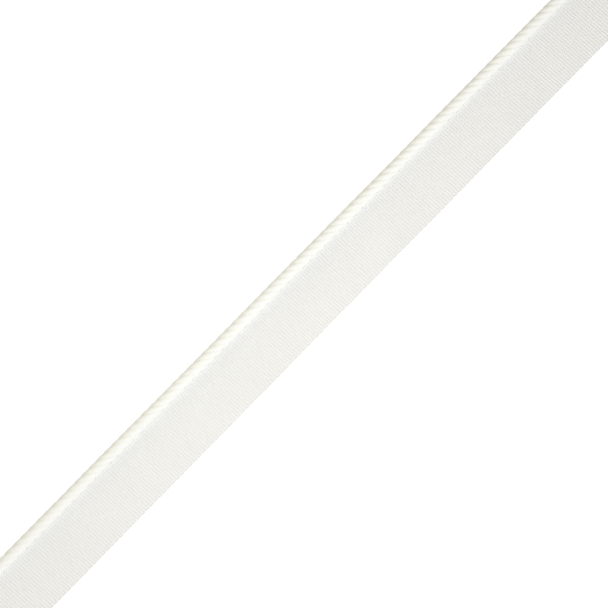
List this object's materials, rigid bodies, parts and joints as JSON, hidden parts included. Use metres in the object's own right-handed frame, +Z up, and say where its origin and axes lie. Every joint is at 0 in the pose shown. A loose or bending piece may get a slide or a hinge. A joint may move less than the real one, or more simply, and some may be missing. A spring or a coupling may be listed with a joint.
{
  "type": "length of lip cord trim",
  "caption": "Straight cut length of ivory lip cord trim: a twisted cord along one side of a flat ribbed tape, whose lip is sewn into a seam.",
  "frame": {"origin": "on the underside of the lip, under the middle of the trim's length and width", "axes": "+X along the trim, +Y across it from the lip's free selvedge towards the cord, +Z up from the surface that the trim lies on"},
  "size_m": [0.26, 0.019, 0.0033],
  "materials": {
    "lip_tape": "ribbed ivory tape, matt with a faint sheen along its ribs",
    "twisted_cord": "soft ivory yarn, a little lighter and warmer than the tape"
  },
  "bodies": {
    "root": {"lip_tape": "lip_tape", "twisted_cord": "twisted_cord"}
  },
  "joints": []
}
